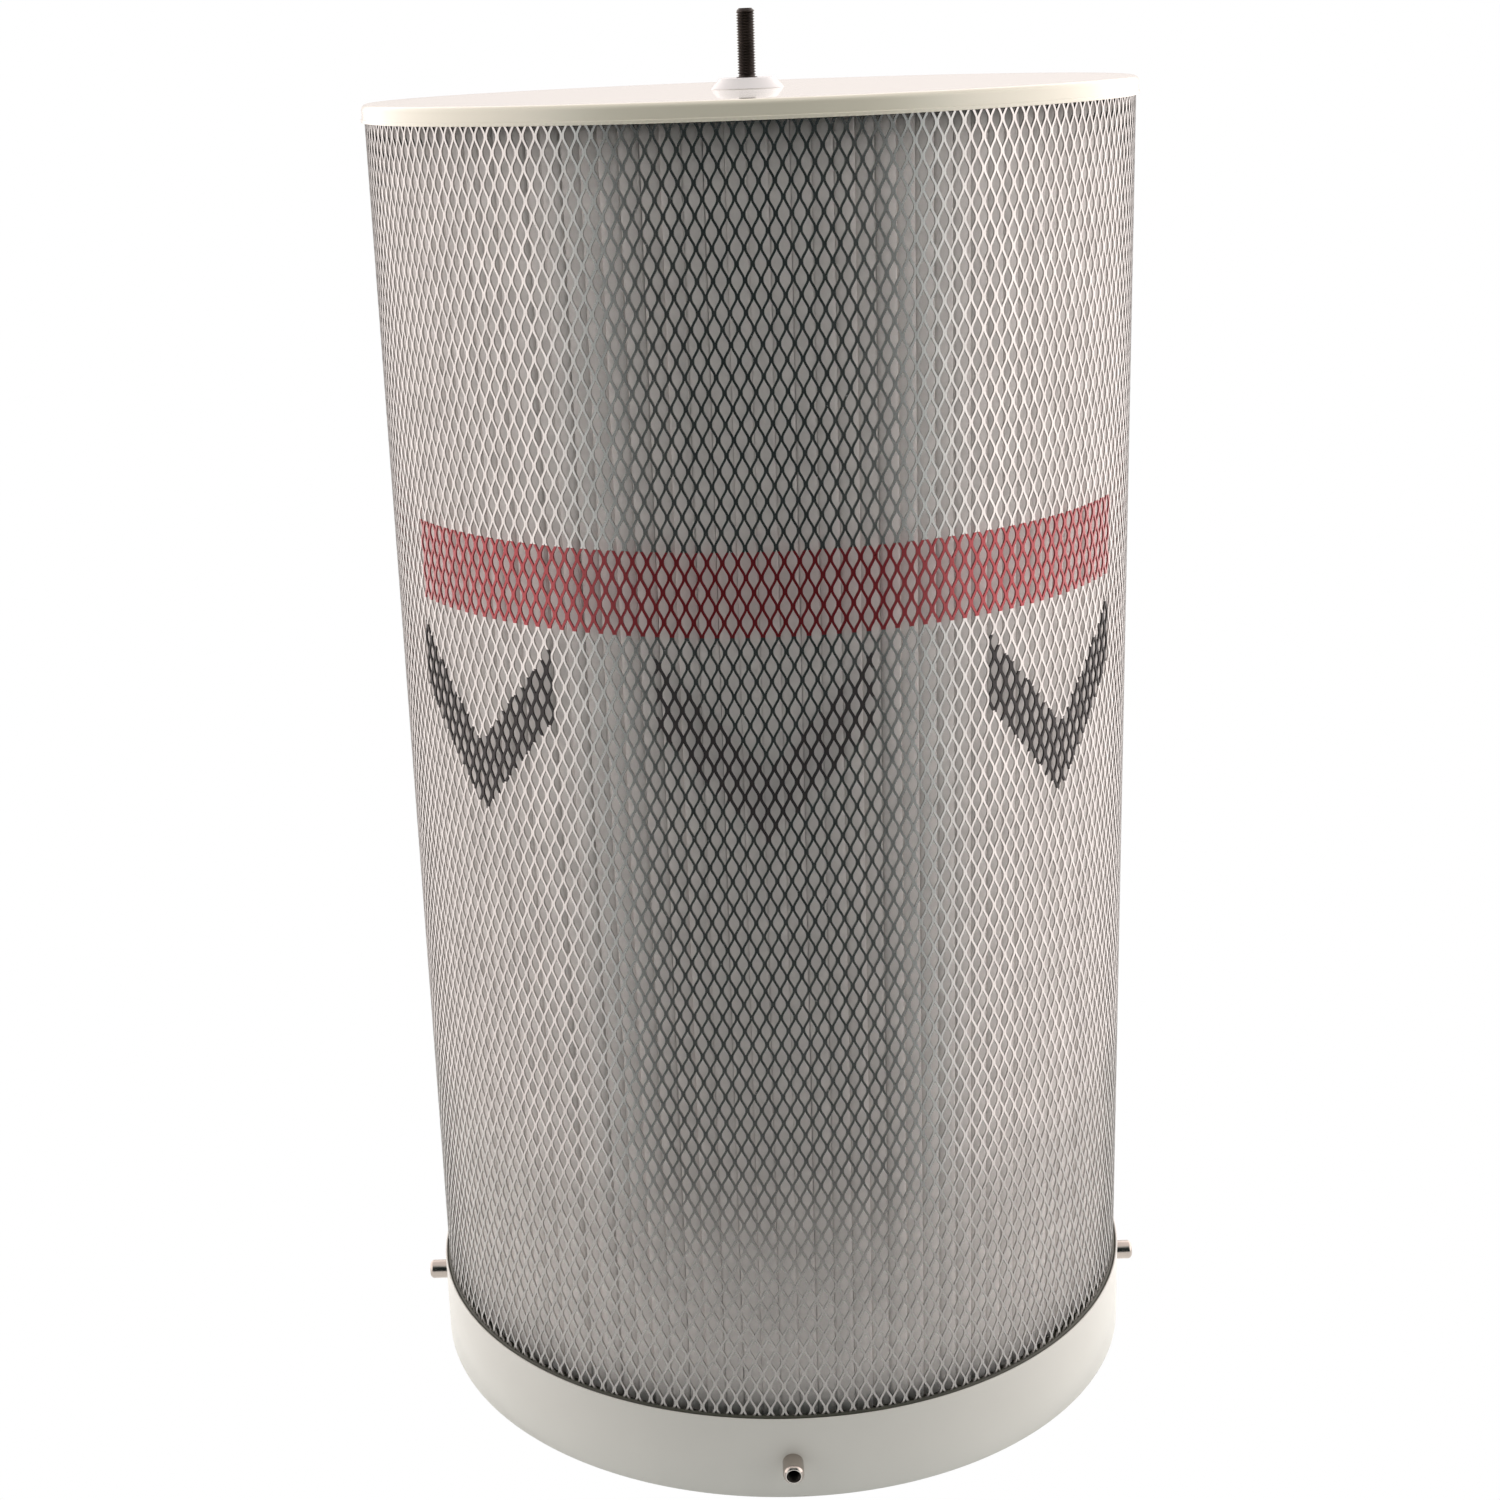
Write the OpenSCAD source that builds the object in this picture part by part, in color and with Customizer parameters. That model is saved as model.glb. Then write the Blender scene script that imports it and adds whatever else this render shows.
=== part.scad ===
// Pleated canister filter of a woodshop dust collector, with its hand-turned cleaning agitator.
// The origin is the centre of the bottom ring's lower edge, +Z points up and -Y is the front.

/* [Canister] */
// Height from the ring's lower edge to the top of the cap
canister_h = 905; // [700:1:1000]
// Outer radius of the expanded-metal screen
screen_r = 253.4; // [253:0.1:253.4]
// Depth of the expanded-metal screen, strand and twist together
screen_t = 1.4; // [1:0.1:2]
// Thickness of the sheet steel of the cap and the ring
sheet_t = 1.5; // [1.2:0.1:1.5]

/* [Top cap] */
// Outer radius of the cap's rim
cap_r = 255; // [255:0.1:256]
// Height of the cap's rim
cap_rim_h = 11.5; // [10:0.5:16]
// Rounding between the cap's top and its rim
cap_edge_r = 3.5; // [2.5:0.1:5]
// How far the hem at the rim's lower edge stands out
hem_out = 0.8; // [0.4:0.1:1.2]

/* [Bottom ring] */
// Outer radius of the ring
ring_r = 256.6; // [256.6:0.1:258]
// Height of the ring
ring_h = 60; // [58:1:62]
// Depth that slides over the collector's collar
collar_depth = 38; // [34:1:40]
// Radius of the opening in the ring's seat plate
seat_inner_r = 192; // [188:1:192]

/* [Clamp bushes] */
// Height of the bush axes above the lower edge
bush_z = 27; // [20:1:28]
// Outer radius of a bush
bush_r = 7; // [6.5:0.1:8]
// How far a bush stands out of the ring
bush_out = 15; // [10:0.5:18]
// Radius of the tapped hole in a bush
bush_hole_r = 4.25; // [3.4:0.05:4.5]

/* [Filter media] */
// Radius over the outer pleat tips
pleat_outer_r = 246.5; // [244:0.5:248]
// Radius over the inner pleat tips
pleat_inner_r = 198.5; // [198.5:0.5:202]

/* [Shaft] */
// Radius of the agitator shaft
shaft_r = 7; // [6.5:0.5:7]
// Radius of the threaded stud that takes the handle
stud_r = 6; // [5:0.5:6]
// Length of the stud above the shaft's shoulder
stud_l = 43.5; // [30:0.5:50]
// Radial clearance between the shaft and its bushes
running_gap = 0.05; // [0.02:0.01:0.1]

/* [Bearing housing] */
// Radius of the housing's foot on the cap
housing_foot_r = 24.5; // [22:0.5:28]
// Radius of the housing's top
housing_top_r = 19; // [16:0.5:20]
// Height of the housing above the cap
housing_h = 7; // [6.5:0.5:12]

/* [Agitator] */
// Width of the arms
arm_w = 24; // [20:1:24]
// Radius where the arms meet the paddle rails
rail_x = 176; // [170:1:176]
// Radius that the edge of a paddle's flap reaches
flap_x = 197; // [194:0.5:197]
// Number of screws along one paddle
screw_count = 8; // [4:1:10]

/* [Hidden] */

$fn = 96;
cream = "#e9e4d6";
zinc = "#a9abab";
plated = "#c9cacc";
blackened = "#26241f";
potting_black = "#34332c";
nylon = "#e4e2da";

// Cap and ring
screen_in = screen_r - screen_t;
cap_in = cap_r - sheet_t;
cap_under = canister_h - sheet_t;
cap_low = canister_h - cap_rim_h;
hem_h = 2.6;
hem_edge_r = 0.6;
cap_fillet = 2;
skirt_in = ring_r - sheet_t;
seat_z = collar_depth + 8;
seat_top = seat_z + sheet_t;
seat_leg_r = skirt_in - sheet_t;
seat_lip_h = 14.5;

// Potting and what stands in it
potting_floor = 2.5;
potting_rise = 8;
embed_z = seat_top + potting_floor;
potting_z = seat_top + potting_rise;
top_embed_z = cap_under - potting_floor;
fillet_z = ring_h + 3.5;

// Bearings
bore_r = shaft_r + running_gap;
bush_od_r = shaft_r + 2;
bush_flange_r = shaft_r + 6;
neck_r = 13;
neck_z = cap_under - 12.5;
housing_z = canister_h + housing_h;
lip_t = 1;
flange_t = 2;
bar_z = 52;
bar_t = 3;
bar_w = 30;
tab_h = 10;
tab_t = 5;
rivet_y = 9;
rivet_z = bar_z + bar_t + 4;
thrust_gap = 0.3;
collar_h = 12;
collar_r = 13;
lower_collar_z = bar_z + bar_t + flange_t + thrust_gap;
upper_collar_z = neck_z - flange_t - thrust_gap - collar_h;

// Shaft
shaft_low = 42;
shoulder_z = housing_z + 0.5;
shaft_top = shoulder_z + stud_l;
stud_chamfer = 1.8;
clip_z = 45.5;
clip_t = 1.2;
clip_in_r = shaft_r - 0.8;
clip_out_r = shaft_r + 3.5;

// Agitator
arm_h = 12;
hub_r = 15;
lower_arm_z = 92;
upper_arm_z = 822;
rail_t = 2;
rail_w = 20;
rail_leg = 16;
rail_low = 72;
rail_high = 854;
flap_t = 2;
strip_t = 1.5;
strip_w = 12;
screw_x = rail_x + 8;
screw_inset = 12;
screw_step = (rail_high - rail_low - 2 * screw_inset) / (screw_count - 1);
screw_zs = [for (i = [0:screw_count - 1]) rail_low + screw_inset + i * screw_step];
m4_r = 2;
m5_r = 2.5;
m6_r = 3;
washer_t = 1.2;
bolt_in = 16;
bolt_zs = [lower_arm_z + arm_h / 2, upper_arm_z + arm_h / 2];

// A ring of rectangular section, from radius a to radius b and from height z0 to height z1
module ring(a, b, z0, z1) {
    rotate_extrude($fn = 180) translate([a, z0]) square([b - a, z1 - z0]);
}

// A hexagon prism with the given width over its flats
module hex(across, h) {
    cylinder(r = across / sqrt(3), h = h, $fn = 6);
}

// A quarter circle of radius r about (cx, cz), from angle a0 to angle a1
function arc(cx, cz, r, a0, a1, n = 8) =
    [for (i = [0:n]) let (a = a0 + (a1 - a0) * i / n) [cx + r * cos(a), cz + r * sin(a)]];

// ---- Canister shell

module top_cap() {
    color(cream) rotate_extrude($fn = 180) polygon(concat(
        [[neck_r + 0.2, cap_under], [neck_r + 0.2, canister_h]],
        arc(cap_r - cap_edge_r, canister_h - cap_edge_r, cap_edge_r, 90, 0),
        [[cap_r, cap_low + hem_h + hem_out]],
        arc(cap_r + hem_out - hem_edge_r, cap_low + hem_h - hem_edge_r, hem_edge_r, 90, 0, 3),
        arc(cap_r + hem_out - hem_edge_r, cap_low + hem_edge_r, hem_edge_r, 0, -90, 3),
        [[cap_in, cap_low]],
        arc(cap_in - cap_fillet, cap_under - cap_fillet, cap_fillet, 0, 90, 4)));
}

module top_potting() {
    color(potting_black) {
        ring(seat_inner_r + sheet_t, cap_in - cap_fillet, top_embed_z, cap_under);
        ring(seat_inner_r + sheet_t, pleat_inner_r, top_embed_z - 8, top_embed_z);
        ring(pleat_outer_r, screen_in, top_embed_z - 8, top_embed_z);
    }
}

module outer_screen() {
    color(zinc) ring(screen_in, screen_r, embed_z, top_embed_z);
}

module screen_seam() {
    color(zinc) rotate([0, 0, 87.5]) rotate_extrude(angle = 5, $fn = 180)
        translate([screen_in - 1, potting_z + 2]) square([1, top_embed_z - 12 - potting_z]);
}

module filter_media() {
    color("#bdb8b0") ring(pleat_inner_r, pleat_outer_r, embed_z, top_embed_z);
}

module bottom_potting() {
    color(potting_black) {
        ring(seat_inner_r + sheet_t, skirt_in, seat_top, embed_z);
        ring(seat_inner_r + sheet_t, pleat_inner_r, embed_z, potting_z);
        ring(pleat_outer_r, screen_in, embed_z, potting_z);
        rotate_extrude($fn = 180) polygon([[screen_r, embed_z], [skirt_in, embed_z],
            [skirt_in, ring_h - 1.5], [screen_r + 0.8, fillet_z], [screen_r, fillet_z]]);
    }
}

module bottom_ring() {
    color(cream) difference() {
        rotate_extrude($fn = 180) polygon(concat(
            [[skirt_in, 0], [ring_r, 0]],
            arc(ring_r - sheet_t, ring_h - sheet_t, sheet_t, 0, 90),
            [[skirt_in, seat_top], [seat_inner_r + sheet_t, seat_top],
             [seat_inner_r + sheet_t, seat_z + seat_lip_h + sheet_t],
             [seat_inner_r, seat_z + seat_lip_h + sheet_t], [seat_inner_r, seat_z],
             [seat_leg_r, seat_z], [seat_leg_r, collar_depth], [skirt_in, collar_depth]]));
        for (a = [0:90:270]) rotate([0, 0, a]) translate([0, 0, bush_z]) rotate([90, 0, 0])
            translate([0, 0, skirt_in - 5]) cylinder(r = bush_r, h = 10);
        for (x = [-1, 1], y = [-1, 1])
            translate([x * (seat_inner_r - 10), y * rivet_y, rivet_z]) rotate([0, x * 90, 0])
                cylinder(r = m4_r, h = 20, $fn = 24);
    }
}

module seal_gasket() {
    color("#2b2b2b") ring(226, seat_leg_r, collar_depth, seat_z);
}

// A tapped sleeve brazed into the ring, at angle a round it from the front
module clamp_bush(a) {
    inner = skirt_in + 0.3;
    outer = ring_r + bush_out;
    color(plated) rotate([0, 0, a]) translate([0, 0, bush_z]) rotate([90, 0, 0])
        rotate_extrude($fn = 64) polygon([[bush_hole_r, inner], [bush_r, inner],
            [bush_r, outer - 1.8], [bush_r - 1.6, outer], [bush_hole_r + 0.4, outer],
            [bush_hole_r, outer - 0.4]]);
}
module clamp_bush_front() clamp_bush(0);
module clamp_bush_right() clamp_bush(90);
module clamp_bush_rear() clamp_bush(180);
module clamp_bush_left() clamp_bush(270);

// ---- Shaft bearings

module bearing_housing() {
    color(cream) rotate_extrude($fn = 96) polygon(concat(
        [[bush_od_r, neck_z], [neck_r, neck_z], [neck_r, canister_h], [housing_foot_r, canister_h],
         [housing_foot_r, canister_h + 0.8]],
        arc(housing_top_r - 1, housing_z - 1, 1, 30, 90, 4),
        [[shaft_r + 0.4, housing_z], [shaft_r + 0.4, housing_z - lip_t],
         [bush_od_r, housing_z - lip_t]]));
}

module housing_washer() {
    color(plated) ring(neck_r + 0.1, 22, cap_under - sheet_t, cap_under);
}

module housing_nut() {
    color(plated) translate([0, 0, cap_under - sheet_t - 8]) difference() {
        hex(36, 8);
        translate([0, 0, -1]) cylinder(r = neck_r, h = 10);
    }
}

module top_bush() {
    color(nylon) {
        ring(bore_r, bush_od_r, neck_z, housing_z - lip_t);
        ring(bore_r, bush_flange_r - 1, neck_z - flange_t, neck_z);
    }
}

module cross_bar() {
    color(zinc) difference() {
        intersection() {
            cylinder(r = seat_inner_r, h = 100, $fn = 180);
            union() {
                translate([-seat_inner_r, -bar_w / 2, bar_z]) cube([2 * seat_inner_r, bar_w, bar_t]);
                for (x = [-1, 1])
                    translate([x * (seat_inner_r - tab_t / 2) - tab_t / 2, -bar_w / 2, bar_z])
                        cube([tab_t, bar_w, tab_h]);
            }
        }
        translate([0, 0, bar_z - 1]) cylinder(r = bush_od_r, h = bar_t + 2);
        for (x = [-1, 1], y = [-1, 1])
            translate([x * (seat_inner_r - 10), y * rivet_y, rivet_z]) rotate([0, x * 90, 0])
                cylinder(r = m4_r, h = 20, $fn = 24);
    }
}

module cross_bar_rivets() {
    color(plated) for (x = [-1, 1], y = [-1, 1])
        translate([x * (seat_inner_r - tab_t), y * rivet_y, rivet_z]) rotate([0, x * 90, 0])
            rotate_extrude($fn = 32) polygon([[0, -1.6], [2.4, -1.4], [3.4, -0.6], [3.4, 0],
                [m4_r, 0], [m4_r, tab_t + 1.4], [3, tab_t + 1.4], [3, tab_t + 2.2],
                [0, tab_t + 2.8]]);
}

module bottom_bush() {
    color(nylon) {
        ring(bore_r, bush_od_r, bar_z - 2, bar_z + bar_t);
        ring(bore_r, bush_flange_r, bar_z + bar_t, bar_z + bar_t + flange_t);
    }
}

// ---- Agitator

module agitator_shaft() {
    color(blackened) rotate_extrude($fn = 96) polygon([[0, shaft_low], [shaft_r - 1, shaft_low],
        [shaft_r, shaft_low + 1], [shaft_r, clip_z], [clip_in_r, clip_z],
        [clip_in_r, clip_z + clip_t], [shaft_r, clip_z + clip_t], [shaft_r, shoulder_z],
        [stud_r, shoulder_z], [stud_r, shaft_top - stud_chamfer],
        [stud_r - stud_chamfer + 0.4, shaft_top], [0, shaft_top]]);
}

// A hole for a set screw, from the front into a collar or hub at height z
module set_screw_hole(z) {
    translate([0, 0, z]) rotate([90, 0, 0]) cylinder(r = m5_r, h = 30, $fn = 32);
}

// A set screw that ends on the shaft
module set_screw(z, l) {
    translate([0, -shaft_r, z]) rotate([90, 0, 0]) difference() {
        cylinder(r = m5_r, h = l, $fn = 32);
        translate([0, 0, l - 2]) hex(2.5, 3);
    }
}

module stop_collar(z) {
    difference() {
        ring(shaft_r, collar_r, z, z + collar_h);
        set_screw_hole(z + collar_h / 2);
    }
}
module upper_collar() color(zinc) stop_collar(upper_collar_z);
module lower_collar() color(zinc) stop_collar(lower_collar_z);

module collar_screws() {
    color(blackened) for (z = [lower_collar_z, upper_collar_z])
        set_screw(z + collar_h / 2, collar_r - shaft_r - 0.5);
}

module shaft_washer() {
    color(plated) ring(shaft_r + 0.2, shaft_r + 5, clip_z + clip_t, clip_z + clip_t + 1.6);
}

module retaining_ring() {
    color(plated) rotate([0, 0, 15]) rotate_extrude(angle = 320, $fn = 64)
        translate([clip_in_r, clip_z]) square([clip_out_r - clip_in_r, clip_t]);
}

// A solid bar across the shaft with its underside at z: round boss in the middle, tapped ends
module arm(z) {
    color(zinc) difference() {
        union() {
            translate([-rail_x, -arm_w / 2, z]) cube([2 * rail_x, arm_w, arm_h]);
            translate([0, 0, z]) cylinder(r = hub_r, h = arm_h);
        }
        translate([0, 0, z - 1]) cylinder(r = shaft_r, h = arm_h + 2);
        set_screw_hole(z + arm_h / 2);
        for (x = [-1, 1])
            translate([x * (rail_x - bolt_in - 2), 0, z + arm_h / 2])
                rotate([0, x * 90, 0]) cylinder(r = m6_r, h = 40, $fn = 48);
    }
}
module upper_arm() arm(upper_arm_z);
module lower_arm() arm(lower_arm_z);

module hub_screws() {
    color(blackened) for (z = bolt_zs) set_screw(z, hub_r - shaft_r - 0.5);
}

// Places paddle side "a" on +X and side "b" on -X
module paddle(side) {
    rotate([0, 0, side == "a" ? 0 : 180]) children();
}

module screw_holes() {
    for (z = screw_zs) translate([screw_x, 0, z]) rotate([-90, 0, 0])
            cylinder(r = m4_r, h = 20, $fn = 32);
}

module paddle_rail(side) {
    color(zinc) paddle(side) difference() {
        translate([rail_x, -rail_w / 2, rail_low]) union() {
            cube([rail_t, rail_w, rail_high - rail_low]);
            translate([0, rail_w - rail_t, 0]) cube([rail_leg, rail_t, rail_high - rail_low]);
        }
        screw_holes();
        for (z = bolt_zs)
            translate([rail_x - 5, 0, z]) rotate([0, 90, 0]) cylinder(r = m6_r, h = 10, $fn = 48);
    }
}
module paddle_rail_a() paddle_rail("a");
module paddle_rail_b() paddle_rail("b");

// The flexible flap that brushes the pleat tips
module paddle_flap(side) {
    color("#3c3b38") paddle(side) difference() {
        translate([rail_x + 3, rail_w / 2, rail_low + 2])
            cube([flap_x - rail_x - 3, flap_t, rail_high - rail_low - 4]);
        screw_holes();
    }
}
module paddle_flap_a() paddle_flap("a");
module paddle_flap_b() paddle_flap("b");

module clamp_strip(side) {
    color(zinc) paddle(side) difference() {
        translate([screw_x - strip_w / 2 + 1, rail_w / 2 + flap_t, rail_low + 4])
            cube([strip_w, strip_t, rail_high - rail_low - 8]);
        screw_holes();
    }
}
module clamp_strip_a() clamp_strip("a");
module clamp_strip_b() clamp_strip("b");

module paddle_screws(side) {
    head_y = rail_w / 2 + flap_t + strip_t;
    color(plated) paddle(side) for (z = screw_zs)
        translate([screw_x, head_y, z]) rotate([90, 0, 0])
            rotate_extrude($fn = 32) polygon([[0, -2.4], [2, -2.2], [3.4, -1.2], [4, 0],
                [m4_r, 0], [m4_r, 10], [0, 10]]);
}
module paddle_screws_a() paddle_screws("a");
module paddle_screws_b() paddle_screws("b");

module paddle_nuts(side) {
    color(plated) paddle(side) for (z = screw_zs)
        translate([screw_x, rail_w / 2 - rail_t - 3.2, z])
            rotate([-90, 0, 0]) difference() {
                hex(7, 3.2);
                translate([0, 0, -1]) cylinder(r = m4_r, h = 6, $fn = 32);
            }
}
module paddle_nuts_a() paddle_nuts("a");
module paddle_nuts_b() paddle_nuts("b");

// Places children on the four joints between arms and rails, z axis pointing outwards
module at_arm_ends() {
    for (z = bolt_zs, side = ["a", "b"])
        paddle(side) translate([0, 0, z]) rotate([0, 90, 0]) children();
}

module arm_bolts() {
    color(plated) at_arm_ends() translate([0, 0, rail_x - bolt_in]) {
        cylinder(r = m6_r, h = bolt_in + rail_t + washer_t, $fn = 48);
        translate([0, 0, bolt_in + rail_t + washer_t]) hex(10, 4);
    }
}

module arm_washers() {
    color(plated) at_arm_ends() ring(m6_r, 6, rail_x + rail_t, rail_x + rail_t + washer_t);
}

top_cap();
bearing_housing();
housing_washer();
housing_nut();
top_bush();
top_potting();
outer_screen();
screen_seam();
filter_media();
bottom_potting();
bottom_ring();
seal_gasket();
clamp_bush_front();
clamp_bush_right();
clamp_bush_rear();
clamp_bush_left();
cross_bar();
cross_bar_rivets();
bottom_bush();
agitator_shaft();
upper_collar();
lower_collar();
collar_screws();
shaft_washer();
retaining_ring();
upper_arm();
lower_arm();
hub_screws();
paddle_rail_a();
paddle_rail_b();
paddle_flap_a();
paddle_flap_b();
clamp_strip_a();
clamp_strip_b();
paddle_screws_a();
paddle_screws_b();
paddle_nuts_a();
paddle_nuts_b();
arm_bolts();
arm_washers();
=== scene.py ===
"""Looks of the pleated canister filter: screen, pleats, enamel, threads, light and camera."""

import math

import bpy
import numpy as np
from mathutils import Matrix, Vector

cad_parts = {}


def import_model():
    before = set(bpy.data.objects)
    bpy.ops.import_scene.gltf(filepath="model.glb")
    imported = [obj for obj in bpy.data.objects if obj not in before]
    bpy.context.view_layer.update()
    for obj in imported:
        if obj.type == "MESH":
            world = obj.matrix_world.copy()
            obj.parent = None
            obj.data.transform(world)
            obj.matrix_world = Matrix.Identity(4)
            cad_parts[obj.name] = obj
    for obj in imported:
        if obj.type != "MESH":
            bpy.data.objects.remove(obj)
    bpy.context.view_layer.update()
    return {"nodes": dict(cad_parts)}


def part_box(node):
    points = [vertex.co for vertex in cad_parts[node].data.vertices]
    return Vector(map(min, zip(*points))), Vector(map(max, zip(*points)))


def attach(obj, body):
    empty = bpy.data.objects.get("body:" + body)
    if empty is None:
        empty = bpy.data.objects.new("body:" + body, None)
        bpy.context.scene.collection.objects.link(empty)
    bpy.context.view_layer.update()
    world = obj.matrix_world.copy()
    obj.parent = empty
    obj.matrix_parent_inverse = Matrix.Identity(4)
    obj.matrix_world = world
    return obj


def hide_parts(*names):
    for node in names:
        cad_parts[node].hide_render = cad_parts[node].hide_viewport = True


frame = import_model()
MM = 0.001
TAU = 2 * math.pi

# ---- Places taken from the frame, in metres

SCREEN_LOW, SCREEN_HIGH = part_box("outer_screen")
SCREEN_R = SCREEN_HIGH[0]
RING_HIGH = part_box("bottom_ring")[1]
RING_R = RING_HIGH[0]
CAP_LOW, CAP_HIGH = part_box("top_cap")
CAP_TOP = CAP_HIGH[2]
MEDIA_LOW, MEDIA_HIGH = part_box("filter_media")
POTTING_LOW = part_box("bottom_potting")[0]
HOUSING_LOW, HOUSING_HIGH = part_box("bearing_housing")
SHAFT_LOW, SHAFT_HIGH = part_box("agitator_shaft")


# ---- Mesh helpers


def mesh_object(name, verts, quads, smooth=True):
    """A new mesh object from arrays of points and of quads."""
    verts = np.asarray(verts, np.float32)
    quads = np.asarray(quads, np.int32)
    mesh = bpy.data.meshes.new(name)
    mesh.vertices.add(len(verts))
    mesh.vertices.foreach_set("co", verts.ravel())
    mesh.loops.add(quads.size)
    mesh.loops.foreach_set("vertex_index", quads.ravel())
    mesh.polygons.add(len(quads))
    mesh.polygons.foreach_set("loop_start", np.arange(0, quads.size, 4, dtype=np.int32))
    mesh.polygons.foreach_set("use_smooth", np.full(len(quads), smooth))
    mesh.update(calc_edges=True)
    mesh.validate()
    ob = bpy.data.objects.new(name, mesh)
    bpy.context.scene.collection.objects.link(ob)
    return ob


def grid_quads(rows, columns, close_rows=False):
    """Quads over a grid of points whose columns wrap round, and whose rows do where asked."""
    i = np.arange(rows if close_rows else rows - 1)
    j = np.arange(columns)
    i, j = (a.ravel() for a in np.meshgrid(i, j, indexing="ij"))
    i1, j1 = (i + 1) % rows, (j + 1) % columns
    return np.stack([i * columns + j, i * columns + j1, i1 * columns + j1, i1 * columns + j], 1)


def polar(radius, azimuth, z):
    """Points from radius, azimuth (0 at the front, towards +X) and height."""
    radius, azimuth, z = np.broadcast_arrays(radius, azimuth, z)
    return np.stack([radius * np.sin(azimuth), -radius * np.cos(azimuth), z], -1)


def lathe(name, outline, segments):
    """Turns a closed outline of (radius, z) about the Z axis."""
    outline = np.array(outline, float)
    azimuth = np.arange(segments) * TAU / segments
    points = polar(outline[:, 0][:, None], azimuth[None, :], outline[:, 1][:, None])
    quads = grid_quads(len(outline), segments, close_rows=True)
    return mesh_object(name, points.reshape(-1, 3), quads)


def arc(cx, cz, r, start, end, steps=6):
    """Points of a round corner, from angle start to angle end in degrees."""
    turn = np.radians(np.linspace(start, end, steps + 1))
    return [(cx + r * math.cos(t), cz + r * math.sin(t)) for t in turn]


def keep_corners(ob, degrees):
    """Smooth shading that stays crisp over edges sharper than the angle."""
    bpy.context.view_layer.objects.active = ob
    ob.select_set(True)
    bpy.ops.object.shade_smooth_by_angle(angle=math.radians(degrees))
    ob.select_set(False)
    return ob


def dress(ob, body, slot, *materials, nodes):
    """Gives a new piece its body and its materials, and hides the CAD nodes it stands for; slot is not
    used.
    """
    for material in materials:
        ob.data.materials.append(material)
    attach(ob, body)
    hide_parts(*nodes)
    return ob


# ---- Materials


class Surface:
    """A Principled material whose colour, roughness and bump come from noise in object space."""

    def __init__(self, name, colour, roughness, metallic=0.0, coat=0.0, sheen=0.0):
        self.material = bpy.data.materials.new(name)
        self.material.use_nodes = True
        self.tree = self.material.node_tree
        self.shader = self.tree.nodes["Principled BSDF"]
        self.shader.inputs["Metallic"].default_value = metallic
        self.shader.inputs["Coat Weight"].default_value = coat
        self.shader.inputs["Coat Roughness"].default_value = 0.06
        self.shader.inputs["Sheen Weight"].default_value = sheen
        self.colour, self.roughness = colour, roughness
        self.place = self.tree.nodes.new("ShaderNodeTexCoord").outputs["Object"]

    def link(self, a, b):
        """Joins an output to an input."""
        self.tree.links.new(a, b)

    def stretched(self, scale):
        """Object coordinates scaled unevenly, for grain that runs along one axis."""
        node = self.tree.nodes.new("ShaderNodeMapping")
        node.inputs["Scale"].default_value = scale
        self.link(self.place, node.inputs["Vector"])
        return node.outputs["Vector"]

    def noise(self, scale, detail=3.0, vector=None):
        """A noise value over the piece, or over a vector of its own."""
        node = self.tree.nodes.new("ShaderNodeTexNoise")
        node.inputs["Scale"].default_value = scale
        node.inputs["Detail"].default_value = detail
        node.inputs["Roughness"].default_value = 0.55
        self.link(vector or self.place, node.inputs["Vector"])
        return node.outputs["Fac"]

    def cells(self, scale):
        """One random colour for each crystal."""
        node = self.tree.nodes.new("ShaderNodeTexVoronoi")
        node.inputs["Scale"].default_value = scale
        self.link(self.place, node.inputs["Vector"])
        return node.outputs["Color"]

    def ramp(self, value, low, high, start=0.35, end=0.65):
        """Turns a noise value into a colour between low and high."""
        node = self.tree.nodes.new("ShaderNodeValToRGB")
        node.color_ramp.elements[0].position = start
        node.color_ramp.elements[1].position = end
        node.color_ramp.elements[0].color = (*low, 1)
        node.color_ramp.elements[1].color = (*high, 1)
        self.link(value, node.inputs["Fac"])
        return node.outputs["Color"]

    def tint(self, value, spread):
        """Base colour that drifts by a share of itself with value."""
        low = [c * (1 - spread) for c in self.colour]
        high = [min(1.0, c * (1 + spread)) for c in self.colour]
        self.link(self.ramp(value, low, high), self.shader.inputs["Base Color"])

    def rough(self, value, spread):
        """Roughness that drifts both ways by spread with value."""
        node = self.tree.nodes.new("ShaderNodeMapRange")
        node.inputs["To Min"].default_value = max(0.02, self.roughness - spread)
        node.inputs["To Max"].default_value = min(1.0, self.roughness + spread)
        self.link(value, node.inputs["Value"])
        self.link(node.outputs["Result"], self.shader.inputs["Roughness"])

    def bump(self, value, height, strength):
        """Fine relief of the given height, too small to model."""
        node = self.tree.nodes.new("ShaderNodeBump")
        node.inputs["Strength"].default_value = strength
        node.inputs["Distance"].default_value = height
        self.link(value, node.inputs["Height"])
        self.link(node.outputs["Normal"], self.shader.inputs["Normal"])


def enamel(name, colour, spread=0.02, roughness=0.34, coat=0.5, metallic=0.0):
    """Paint on sheet metal, with faint orange peel."""
    surface = Surface(name, colour, roughness, metallic, coat)
    surface.tint(surface.noise(9), spread)
    surface.rough(surface.noise(60), 0.06)
    surface.bump(surface.noise(600, detail=1), 0.00002, strength=0.2)
    return surface.material


def rolled_metal(name, colour, roughness, spread=0.08, metallic=1.0):
    """Bare or blackened metal with a fine grain and slight tarnish."""
    surface = Surface(name, colour, roughness, metallic)
    surface.tint(surface.noise(45), spread)
    surface.rough(surface.noise(260), 0.08)
    surface.bump(surface.noise(900, detail=2), 0.00002, strength=0.3)
    return surface.material


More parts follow.
